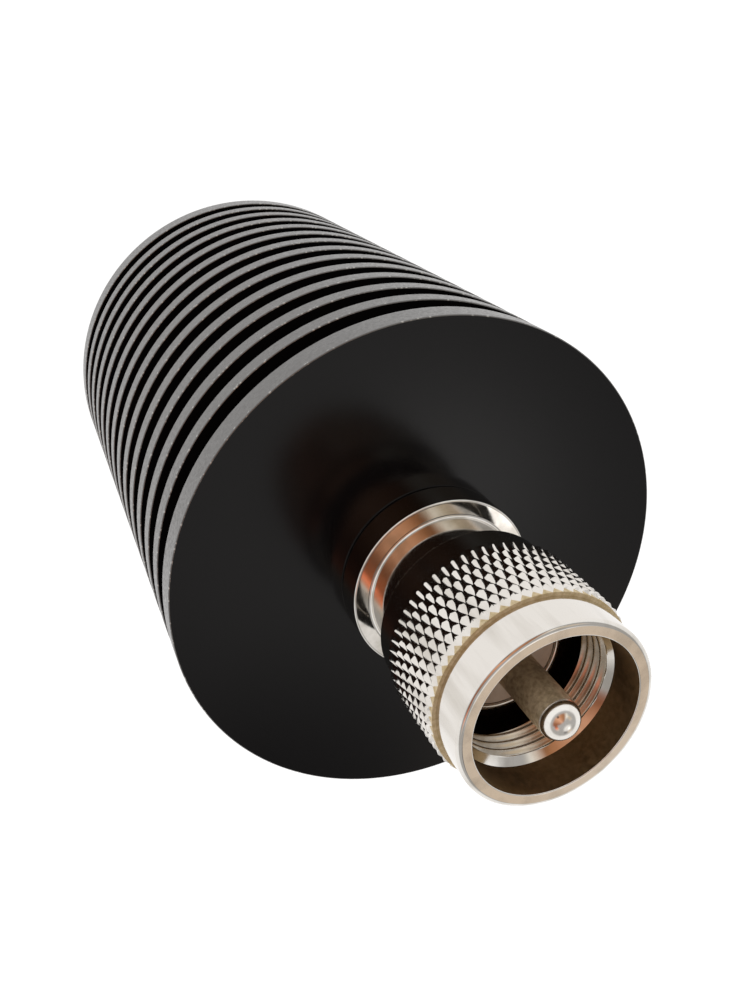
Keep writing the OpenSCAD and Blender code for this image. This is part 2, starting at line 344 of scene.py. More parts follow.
@dataclass(frozen=True)
class PaintedGlintEdge(Finish):
    """Front edges of the rims, with painted glints.

    Small bright specks are painted along the grey of the rim and stand in for glints of light.
    """

    # Colour of the painted glint specks
    bare: str = "#a8a7a3"
    roughness: float = 0.34
    cell_mm: float = 0.5
    glint_speck_mm: float = 0.32
    glint_core: float = 0.6

    def dress(self, tree: NodeTree, shader: Node, place: NodeSocket) -> None:
        """Adds the bright specks that paint in the glints.

        Args:
            tree: The material's node tree.
            shader: Its Principled shader.
            place: Object coordinates.
        """
        cells = {"Vector": place, "Scale": per_metre(self.cell_mm)}
        speck = add_node(tree, "ShaderNodeTexVoronoi", cells, feature="F1").outputs["Distance"]
        ramp = add_node(tree, "ShaderNodeValToRGB", {"Fac": speck})
        reach = self.glint_speck_mm / self.cell_mm / 2
        paint(ramp, [(self.glint_core * reach, self.bare), (reach, self.colour)])
        shader.inputs["Metallic"].default_value = 1.0
        shader.inputs["Roughness"].default_value = self.roughness
        tree.links.new(ramp.outputs["Color"], shader.inputs["Base Color"])


@dataclass(frozen=True)
class SatinMetal(Finish):
    """Plated or plain metal with a blasted, rolled or tarnished skin. Some of these finishes carry painted
    shade or a painted reflection in their colour.

    Light spreads into a broad soft sheen, broken up by mottling.
    """

    roughness: tuple[float, float] = (0.3, 0.45)
    mottle_mm: float = 0.5
    # Darker colour of the mottling. In some finishes it is part of painted shade or a painted reflection
    dark_mottle: str = "#8a7f70"

    def dress(self, tree: NodeTree, shader: Node, place: NodeSocket) -> None:
        """Adds the mottling to colour and gloss.

        Args:
            tree: The material's node tree.
            shader: Its Principled shader.
            place: Object coordinates.
        """
        mottle = {"Vector": place, "Scale": per_metre(self.mottle_mm), "Detail": 5.0, "Roughness": 0.6}
        patches = add_node(tree, "ShaderNodeTexNoise", mottle).outputs["Fac"]
        low, high = self.roughness
        span = {"Value": patches, 1: NOISE_SPAN[0], 2: NOISE_SPAN[1], 3: low, 4: high}
        blur = add_node(tree, "ShaderNodeMapRange", span)
        ramp = add_node(tree, "ShaderNodeValToRGB", {"Fac": patches})
        paint(ramp, [(0.35, self.dark_mottle), (0.62, self.colour)])
        shader.inputs["Metallic"].default_value = 1.0
        tree.links.new(ramp.outputs["Color"], shader.inputs["Base Color"])
        tree.links.new(blur.outputs["Result"], shader.inputs["Roughness"])


@dataclass(frozen=True)
class Insulator(Finish):
    """Moulded, turned or fired insulating material.

    A pale or brown body colour lies under a surface gloss, and fine clouds keep it from looking flat.
    """

    shade: str = "#5b5047"
    cloud_mm: float = 1.4
    roughness: float = 0.15

    def dress(self, tree: NodeTree, shader: Node, place: NodeSocket) -> None:
        """Adds the clouds and the gloss.

        Args:
            tree: The material's node tree.
            shader: Its Principled shader.
            place: Object coordinates.
        """
        haze = {"Vector": place, "Scale": per_metre(self.cloud_mm), "Detail": 3.0}
        clouds = add_node(tree, "ShaderNodeTexNoise", haze).outputs["Fac"]
        ramp = add_node(tree, "ShaderNodeValToRGB", {"Fac": clouds})
        paint(ramp, [(NOISE_SPAN[0], self.shade), (NOISE_SPAN[1], self.colour)])
        shader.inputs["Roughness"].default_value = self.roughness
        tree.links.new(ramp.outputs["Color"], shader.inputs["Base Color"])


NICKEL = NickelPlate("bright nickel plate on turned brass", "#dcd8d2")
ANODISED = BlackAnodising("black anodised turned aluminium", "#0c0b0c")
RIM = BurnishedRim("anodised rims rubbed grey", "#6e6d6c")
# Painted glints: bright specks on the rims' front edges stand in for glints of light
PAINTED_GLINTS = PaintedGlintEdge("anodised edges with painted glint specks", "#6e6d6c")
BORE = NickelPlate("nickel plate in the bore, dulled by wear", "#cfc7bb", "#b3a897", (0.16, 0.28))
# Painted reflection and shade: the brown of the counterbore stands in for the warm room it mirrors and the
# dark inside of the bore
MOUTH = SatinMetal("nickel plate tarnished brown in the mouth", "#a8906f", (0.3, 0.45), 0.5, "#94805f")
# Painted reflection: a rough beige on the step faces where the knurl ends stands in for the beige of the tent
# that these faces mirror
RUN_OUT = SatinMetal(
    "nickel plate worn to the brass where the knurl ends", "#e3d6b9", (0.65, 0.8), 0.5, "#c9b78f"
)
# Painted shade: a dark brown for the deep, unlit gap between the sleeve's flange and the nut and for the
# nut's relief
PAINTED_SHADE = SatinMetal("painted shade in the deep gaps of the bore", "#453a30", (0.35, 0.5), 0.5, "#2c251f")
PIN_SIDE = SatinMetal("tarnished nickel plate on the pin", "#eedfc4", (0.4, 0.55), 0.45, "#c6b292")
PIN_TIP = NickelPlate("polished nickel at the pin's tip", "#e6e2dc", "#d9d4cc", (0.13, 0.19))
BEAD = Insulator("glossy phenolic bead", "#e2d8cb", "#d3c9bc", 1.4, 0.14)
CAPS = SatinMetal("tin plate on spun brass caps", "#c4beb2", (0.25, 0.4), 0.6, "#a79f90")
RING_BRASS = SatinMetal("drawn brass wire", "#c2a35c", (0.22, 0.36), 0.5, "#9a7f42")
SPRINGS = SatinMetal("rolled spring steel", "#9a9a9c", (0.28, 0.42), 0.6, "#7f7f82")
PTFE = Insulator("turned PTFE", "#ecebe6", "#dedcd5", 1.2, 0.42)
ALUMINA = Insulator("fired alumina", "#efece2", "#e2ddd0", 0.6, 0.5)
GLAZE = Insulator("glazed resistive film", "#4f4036", "#3c3029", 0.8, 0.25)


@dataclass(frozen=True)
class Corner:
    """One corner of a turned section, in millimetres, with the radius that rounds it."""

    radius: float
    height: float
    rounding: float = 0.0

    def toward(self, other: "Corner", reach: float) -> "Corner":
        """Gives the point at a distance on the way to another corner.

        Args:
            other: The corner at the far end.
            reach: Distance in millimetres.

        Returns:
            A plain corner.
        """
        share = reach / math.hypot(other.radius - self.radius, other.height - self.height)
        radius = self.radius + share * (other.radius - self.radius)
        return Corner(radius, self.height + share * (other.height - self.height))


def held(section: list[Corner]) -> list[Corner]:
    """Adds a point close to both ends of each rounding, so that the flat faces beside it shade flat.

    Args:
        section: Corners in order.

    Returns:
        The corners with the points between them.
    """
    made = []
    for before, here, after in zip([section[-1], *section], section, [*section[1:], section[0]]):
        ends = []
        for other in (before, after):
            span = math.hypot(other.radius - here.radius, other.height - here.height)
            room = span - here.rounding - other.rounding > 3 * HOLD
            ends.append([here.toward(other, here.rounding + HOLD)] if here.rounding > 0 and room else [])
        made += [*ends[0], here, *ends[1]]
    return made


def turned(section: list[Corner], steps: int, arc_steps: int = 3) -> bmesh.types.BMesh:
    """Turns a closed section about +Z.

    Args:
        section: Corners in order, ending next to the first.
        steps: Faces around the axis.
        arc_steps: Faces across each rounded corner.

    Returns:
        A closed mesh in metres with its faces pointing outwards.
    """
    bm = bmesh.new()
    section = held(section)
    verts = [bm.verts.new((c.radius * MM, 0.0, c.height * MM)) for c in section]
    points = list(zip(section, verts))
    for (start, a), (end, b) in zip(points, [*points[1:], points[0]]):
        if start.radius > 0 or end.radius > 0:
            bm.edges.new((a, b))
    for rounding in sorted({c.rounding for c in section if c.rounding > 0}):
        group = [v for c, v in points if c.rounding == rounding]
        bmesh.ops.bevel(
            bm, geom=group, offset=rounding * MM, offset_type="OFFSET", segments=arc_steps,
            profile=0.5, affect="VERTICES", material=-1,
        )
    bmesh.ops.spin(
        bm, geom=bm.verts[:] + bm.edges[:], cent=(0, 0, 0), axis=(0, 0, 1), dvec=(0, 0, 0),
        angle=math.tau, steps=steps, use_merge=True,
    )
    bmesh.ops.remove_doubles(bm, verts=bm.verts, dist=0.0005 * MM)
    bmesh.ops.recalc_face_normals(bm, faces=bm.faces)
    return bm


def polar(point: Vector) -> tuple[float, float, float]:
    """Gives a mesh point's distance from the axis in mm, its angle in radians and its height in mm."""
    return math.hypot(point.x, point.y) / MM, math.atan2(point.y, point.x) % math.tau, point.z / MM


def box_mm(node: str) -> tuple[Vector, Vector]:
    """Lowest and highest corner of a CAD node, in millimetres."""
    low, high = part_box(node)
    return low / MM, high / MM


@dataclass
class SubAssembly:
    """What all sub-assemblies share: the body that carries them and how a mesh becomes a piece."""

    body: Body

    def settle(
        self, bm: bmesh.types.BMesh, name: str, finishes: list[Finish], slot: Slot, nodes: Iterable[str]
    ) -> Object:
        """Makes a finished bmesh a piece of the part.

        Args:
            bm: Mesh in metres, in the frame. It is freed.
            name: The piece's name.
            finishes: Finishes, in the order of the faces' material numbers.
            slot: Slot of the record; not used.
            nodes: CAD nodes that the piece stands for.

        Returns:
            The new object, riding on the body.
        """
        mesh = bpy.data.meshes.new(name)
        bm.to_mesh(mesh)
        bm.free()
        mesh.set_sharp_from_angle(angle=math.radians(SHARP_DEG))
        for finish in finishes:
            mesh.materials.append(finish.material())
        piece = bpy.data.objects.new(name, mesh)
        bpy.context.scene.collection.objects.link(piece)
        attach(piece, self.body.value)
        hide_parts(*nodes)
        LOG.info("%s: %d faces, %s", name, len(mesh.polygons), ", ".join(f.name for f in finishes))
        return piece

    @staticmethod
    def smooth(bm: bmesh.types.BMesh) -> None:
        """Sets every face to shade smooth."""
        for face in bm.faces:
            face.smooth = True


@dataclass
class HeatSink(SubAssembly):
    """One finned bar with a front plate, thin fins and a rear plate, bored from the front."""

    fin_count: int = 12
    fin_t: float = 2.25
    plate_t: float = 3.25
    core_r: float = 16.0
    rim_round: float = 0.12
    glint_band_l: float = 0.3
    root_round: float = 0.4
    upright: float = 0.1
    tap_r: float = 8.0
    tap_l: float = 14.0
    tap_edge: float = 0.2
    bore_r: float = 7.2
    rear_wall: float = 8.0
    steps: int = 192

    def discs(self) -> list[tuple[float, float]]:
        """Gives the lower and upper level of both plates and of each fin between them.

        Returns:
            Levels in millimetres, upwards.
        """
        low, high = box_mm("heat_sink")
        gap = (high.z - low.z - 2 * self.plate_t - self.fin_count * self.fin_t) / (self.fin_count + 1)
        made = [(low.z, low.z + self.plate_t)]
        for i in range(self.fin_count):
            bottom = low.z + self.plate_t + gap + i * (self.fin_t + gap)
            made.append((bottom, bottom + self.fin_t))
        return [*made, (high.z - self.plate_t, high.z)]

    def section(self) -> list[Corner]:
        """Section of the bar, from the centre of the rear face round to the bottom of the bore.

        Returns:
            Corners in order.
        """
        low, high = box_mm("heat_sink")
        rim_r = min(high.x, high.y)
        corners = [Corner(0, low.z)]
        for bottom, top in self.discs():
            if bottom > low.z:
                corners.append(Corner(self.core_r, bottom, self.root_round))
            corners.append(Corner(rim_r, bottom, self.rim_round))
            corners.append(Corner(rim_r, top - self.glint_band_l))
            corners.append(Corner(rim_r, top, self.rim_round))
            if top < high.z:
                corners.append(Corner(self.core_r, top, self.root_round))
        tap_z = high.z - self.tap_l
        return [
            *corners, Corner(self.tap_r, high.z, self.tap_edge), Corner(self.tap_r, tap_z),
            Corner(self.bore_r, tap_z), Corner(self.bore_r, self.rear_wall), Corner(0, self.rear_wall),
        ]

    def build(self) -> None:
        """Turns the bar and dresses it in black anodising, with rims rubbed grey and painted glint specks
        along their front edges.
        """
        bm = turned(self.section(), self.steps)
        self.smooth(bm)
        rim = box_mm("heat_sink")[1].x - self.rim_round
        tops = [top for _, top in self.discs()]
        for face in bm.faces:
            radius, _, height = polar(face.calc_center_median())
            # The band at each rim's front edge takes the painted glint specks, and the rest of the rim takes
            # the rubbed grey finish
            if radius > rim and any(top - self.glint_band_l < height < top for top in tops):
                face.material_index = 2
            elif radius > rim and abs(face.normal.z) < self.upright:
                face.material_index = 1
        self.settle(bm, "finned_heat_sink", [ANODISED, RIM, PAINTED_GLINTS], Slot.ANODISED, ["heat_sink"])


@dataclass
class PlugFront(SubAssembly):
    """The plug's fixed front: body with collar and neck, mating sleeve, insulator and centre pin."""

    collar_h: float = 3.6
    collar_round: float = 0.2
    neck_r: float = 8.1
    neck_l: float = 6.3
    neck_fillet: float = 0.3
    journal_r: float = 6.35
    edge: float = 0.3
    spigot_r: float = 7.95
    undercut_r: float = 7.35
    undercut_l: float = 1.0
    undercut_slope_l: float = 0.6
    bore_r: float = 4.2
    seat_r: float = 5.25
    seat_l: float = 5.5
    flange_r: float = 7.15
    flange_t: float = 1.2
    flange_edge: float = 0.25
    rim_r: float = 6.2
    rim_edge: float = 0.2
    bright_l: float = 0.3
    cup_r: float = 5.6
    sleeve_spigot_r: float = 5.2
    bead_edge: float = 0.12
    stem_r: float = 1.5
    stem_edge: float = 0.2
    dome_l: float = 1.8
    dome_step_deg: int = 6
    fit: float = 0.05
    steps: int = 144
    pin_steps: int = 96
    body_arc_steps: int = 4

    def build_body(self) -> None:
        """Turns the spigot, collar, neck and journal as one plated piece."""
        low, high = box_mm("plug_body")
        plate = box_mm("heat_sink")[1].z
        undercut = plate - self.undercut_l
        collar_top, neck_top = plate + self.collar_h, plate + self.collar_h + self.neck_l
        bm = turned(
            [
                Corner(self.bore_r, low.z), Corner(self.spigot_r, low.z, self.edge),
                Corner(self.spigot_r, undercut - self.undercut_slope_l), Corner(self.undercut_r, undercut),
                Corner(self.undercut_r, plate), Corner(high.x, plate, self.edge),
                Corner(high.x, collar_top, self.collar_round),
                Corner(self.neck_r, collar_top, self.neck_fillet),
                Corner(self.neck_r, neck_top, self.edge), Corner(self.journal_r, neck_top),
                Corner(self.journal_r, high.z), Corner(self.seat_r, high.z),
                Corner(self.seat_r, high.z - self.seat_l), Corner(self.bore_r, high.z - self.seat_l),
            ],
            self.steps, self.body_arc_steps,
        )
        self.smooth(bm)
        self.settle(bm, "plug_collar_and_neck", [NICKEL], Slot.NICKEL, ["plug_body"])

    def build_sleeve(self) -> None:
        """Turns the front sleeve with its flange and thin rim, with painted shade on the flange."""
        low, high = box_mm("mating_sleeve")
        journal = box_mm("plug_body")[1].z
        flange_top, seat = journal + self.flange_t, journal + self.flange_t / 2
        bm = turned(
            [
                Corner(self.bore_r, low.z), Corner(self.sleeve_spigot_r, low.z),
                Corner(self.sleeve_spigot_r, journal), Corner(self.flange_r, journal),
                Corner(self.flange_r, flange_top, self.flange_edge),
                Corner(self.rim_r, flange_top, self.rim_edge),
                Corner(self.rim_r, high.z, self.rim_edge), Corner(self.cup_r, high.z, self.rim_edge),
                Corner(self.cup_r, seat), Corner(self.bore_r, seat),
            ],
            self.steps,
        )
        self.smooth(bm)
        for face in bm.faces:
            radius, _, height = polar(face.calc_center_median())
            # The flange below the rim's bright top takes the painted shade of the deep gap
            face.material_index = int(radius > self.rim_r - self.fit and height < high.z - self.bright_l)
        self.settle(bm, "mating_sleeve_rim", [NICKEL, PAINTED_SHADE], Slot.NICKEL, ["mating_sleeve"])

    def build_bead(self) -> None:
        """Turns the glossy bead that fills the sleeve around the pin."""
        low, high = box_mm("front_insulator")
        seat = box_mm("plug_body")[1].z + self.flange_t / 2
        bore, outer, face = self.stem_r + self.fit, self.bore_r - self.fit, self.cup_r - self.fit
        bm = turned(
            [
                Corner(bore, low.z), Corner(outer, low.z), Corner(outer, seat), Corner(face, seat),
                Corner(face, high.z, self.bead_edge), Corner(bore, high.z),
            ],
            self.steps,
        )
        self.smooth(bm)
        self.settle(bm, "front_bead", [BEAD], Slot.PHENOLIC, ["front_insulator"])

    def build_pin(self) -> None:
        """Turns the pin: stem, shoulder, straight side and a polished dome."""
        low, high = box_mm("centre_pin")
        face, radius = box_mm("front_insulator")[1].z, high.x
        dome_z = high.z - self.dome_l
        dome = [
            Corner(radius * math.cos(math.radians(a)), dome_z + self.dome_l * math.sin(math.radians(a)))
            for a in range(self.dome_step_deg, 90, self.dome_step_deg)
        ]
        side = [Corner(self.stem_r, low.z, self.stem_edge), Corner(self.stem_r, face), Corner(radius, face)]
        section = [Corner(0, low.z), *side, Corner(radius, dome_z), *dome, Corner(0, high.z)]
        bm = turned(section, self.pin_steps)
        self.smooth(bm)
        for face in bm.faces:
            face.material_index = int(face.calc_center_median().z > dome_z * MM)
        self.settle(bm, "centre_pin_domed", [PIN_SIDE, PIN_TIP], Slot.PIN, ["centre_pin"])

    def build(self) -> None:
        """Builds the four pieces from the plate outwards."""
        self.build_body()
        self.build_sleeve()
        self.build_bead()
        self.build_pin()


@dataclass
class CouplingNut(SubAssembly):
    """Knurled nut with a plain tail, a plain lip and a real coupling thread inside."""

    tail_r: float = 9.5
    tail_edge: float = 0.05
    tail_bore_r: float = 8.4
    tail_bore_l: float = 2.65
    shoulder_t: float = 0.7
    shoulder_r: float = 6.95
    groove_r: float = 8.23
    groove_l: float = 1.4
    relief_l: float = 3.2
    thread_r: float = 7.45
    thread_l: float = 3.7
    thread_pitch: float = 1.058
    thread_depth: float = 0.5
    thread_level: float = 0.04
    lead_in_l: float = 0.7
    mouth_r: float = 8.15
    mouth_edge: float = 0.1
    lip_r: float = 9.55
    lip_l: float = 4.2
    lip_edge: float = 0.45
    knurl_rows: int = 7
    knurl_row_h: float = 1.36
    knurl_root_r: float = 9.91
    knurl_blunt: float = 6.0
    knurl_points: int = 120

    def levels(self) -> dict[str, float]:
        """Heights of the nut's steps, upwards from its rear rim, in millimetres.

        Returns:
            Height by name.
        """
        low, high = box_mm("coupling_nut")
        groove = low.z + self.tail_bore_l + self.shoulder_t
        relief = groove + self.groove_l + self.shoulder_t
        thread = relief + self.relief_l
        cone = thread + self.thread_l
        return {
            "rear": low.z, "groove": groove, "relief": relief, "thread": thread, "cone": cone,
            "mouth": cone + self.lead_in_l, "front": high.z, "lip": high.z - self.lip_l,
            "knurl": high.z - self.lip_l - self.knurl_rows * self.knurl_row_h,
        }

    def section(self, at: dict[str, float]) -> list[Corner]:
        """Section of the nut with plain walls in place of the knurl's teeth and the thread.

        Args:
            at: Heights from levels().

        Returns:
            Corners in order, up the outside and down the inside.
        """
        rows = [at["knurl"] + (j + 0.5) * self.knurl_row_h for j in range(self.knurl_rows)]
        outside = [
            Corner(self.tail_bore_r, at["rear"], self.tail_edge),
            Corner(self.tail_r, at["rear"], self.tail_edge),
            Corner(self.tail_r, at["knurl"]), Corner(self.knurl_root_r, at["knurl"]),
            *[Corner(self.knurl_root_r, z) for z in rows],
            Corner(self.knurl_root_r, at["lip"]), Corner(self.lip_r, at["lip"]),
            Corner(self.lip_r, at["front"], self.lip_edge),
            Corner(self.mouth_r, at["front"], self.mouth_edge),
        ]
        count = round((at["mouth"] - at["thread"]) / self.thread_level)
        falls = [at["mouth"] + (at["thread"] - at["mouth"]) * i / count for i in range(count + 1)]
        threaded = [Corner(self.plain_bore(z, at), z) for z in falls]
        inside = [
            Corner(self.groove_r, at["thread"]), Corner(self.groove_r, at["relief"]),
            Corner(self.thread_r, at["relief"]), Corner(self.thread_r, at["relief"] - self.shoulder_t),
            Corner(self.groove_r, at["relief"] - self.shoulder_t), Corner(self.groove_r, at["groove"]),
            Corner(self.shoulder_r, at["groove"]), Corner(self.shoulder_r, at["groove"] - self.shoulder_t),
            Corner(self.tail_bore_r, at["groove"] - self.shoulder_t),
        ]
        return [*outside, *threaded, *inside]

    def plain_bore(self, height: float, at: dict[str, float]) -> float:
        """Radius of the lead-in cone or of the thread's crests at a height."""
        share = max(0.0, (height - at["cone"]) / self.lead_in_l)
        return self.thread_r + share * (self.mouth_r - self.thread_r)

    def thread_radius(self, height: float, angle: float, at: dict[str, float]) -> float:
        """Radius of the right-handed thread, with rounded crests and roots.

        Args:
            height: Height in millimetres.
            angle: Angle about the axis in radians.
            at: Heights from levels().

        Returns:
            The larger of the thread's radius and the lead-in cone's.
        """
        turn = ((height - at["cone"]) / self.thread_pitch - angle / math.tau) % 1.0
        cut = self.thread_r + self.thread_depth * (0.5 - 0.5 * math.cos(math.tau * turn))
        return max(cut, self.plain_bore(height, at))

    def cut_thread(self, bm: bmesh.types.BMesh, at: dict[str, float]) -> None:
        """Moves the fine levels of the bore out to the thread.

        Args:
            bm: The nut's mesh.
            at: Heights from levels().
        """
        slack = self.thread_level / 4
        for vert in bm.verts:
            radius, angle, height = polar(vert.co)
            if radius < self.mouth_r + slack and at["thread"] - slack < height < at["mouth"] + slack:
                if abs(radius - self.plain_bore(height, at)) < slack:
                    vert.co.xy *= self.thread_radius(height, angle, at) / radius

    def raise_knurl(self, bm: bmesh.types.BMesh, at: dict[str, float], tip_r: float) -> None:
        """Raises every second point of each knurl row to a blunt four-sided tooth.

        Args:
            bm: The nut's mesh.
            at: Heights from levels().
            tip_r: Radius over the blunted teeth in millimetres.
        """
        tips = []
        for vert in bm.verts:
            radius, angle, height = polar(vert.co)
            row = (height - at["knurl"]) / self.knurl_row_h - 0.5
            off = abs(row - round(row)) * self.knurl_row_h
            on_row = off < NEAR and 0 <= round(row) < self.knurl_rows
            point = round(angle / math.tau * self.knurl_points)
            if on_row and radius > self.knurl_root_r - NEAR and (point + round(row)) % 2 == 0:
                tips.append(vert)
        raised = set(tips)
        peak_r = self.knurl_root_r + (tip_r - self.knurl_root_r) / (1.0 - self.knurl_blunt / 100)
        for vert in tips:
            vert.co.xy *= peak_r / self.knurl_root_r
        sides = {face for vert in tips for face in vert.link_faces}
        for face in sides:
            face.smooth = False
            corner = next(loop for loop in face.loops if loop.vert in raised)
            before, after = corner.link_loop_prev.vert, corner.link_loop_next.vert
            half, _ = bmesh.utils.face_split(face, before, after)
            half.smooth = False
        blunted = bmesh.ops.bevel(
            bm, geom=tips, offset=self.knurl_blunt, offset_type="PERCENT", segments=1,
            profile=0.5, affect="VERTICES", material=-1,
        )
        for face in blunted["faces"]:
            face.smooth = False

    def build(self) -> None:
        """Turns the nut, cuts its thread, raises its knurl and dresses it in nickel, with painted shade deep
        in the bore and painted reflections in the mouth and where the knurl ends.
        """
        at = self.levels()
        tip_r = box_mm("coupling_nut")[1].x
        bm = turned(self.section(at), self.knurl_points)
        self.smooth(bm)
        self.cut_thread(bm, at)
        self.raise_knurl(bm, at, tip_r)
        bmesh.ops.recalc_face_normals(bm, faces=bm.faces)
        for face in bm.faces:
            radius, _, height = polar(face.calc_center_median())
            inside = radius < self.tail_bore_r - NEAR
            at_lip = radius > self.lip_r + NEAR and abs(height - at["lip"]) < self.knurl_row_h / 2
            # Inside, below the thread, the nut takes the painted shade of the deep gap
            if inside and height < at["thread"]:
                face.material_index = 2
            elif inside and height < at["cone"]:
                face.material_index = 1
            # The counterbore in the mouth takes the painted brown reflection and shade
            elif inside and at["mouth"] < height < at["front"] - self.mouth_edge:
                face.material_index = 3
            # The step faces where the knurl meets the lip take the painted beige reflection
            elif at_lip and max(polar(vert.co)[0] for vert in face.verts) < self.knurl_root_r + NEAR:
                face.material_index = 4
        finishes = [NICKEL, BORE, PAINTED_SHADE, MOUTH, RUN_OUT]
        self.settle(bm, "knurled_coupling_nut", finishes, Slot.NICKEL, ["coupling_nut"])


@dataclass
class Interior:
    """The pieces inside, which keep their CAD meshes and get real finishes."""

    finishes: dict[str, Finish]

    def build(self) -> None:
        """Gives each inner node its finish."""
        for node, finish in self.finishes.items():
            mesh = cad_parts[node].data
            mesh.materials.clear()
            mesh.materials.append(finish.material())
            LOG.info("%s keeps its CAD mesh, %s", node, finish.name)


@dataclass(frozen=True)
class Lamp:
    """A soft round light behind the tent's cloth, or a dark flag where its glow is below zero.

    Azimuth 0 is away from the camera, and + is toward +X.
    """

    azimuth_deg: float
    elevation_deg: float
    edge_deg: float
    core_deg: float
    glow: float

    def way(self) -> Vector:
        """Direction of the lamp's middle.

        Returns:
            A unit vector.
        """
        turn, rise = math.radians(self.azimuth_deg), math.radians(self.elevation_deg)
        return Vector((math.sin(turn) * math.cos(rise), math.cos(turn) * math.cos(rise), math.sin(rise)))


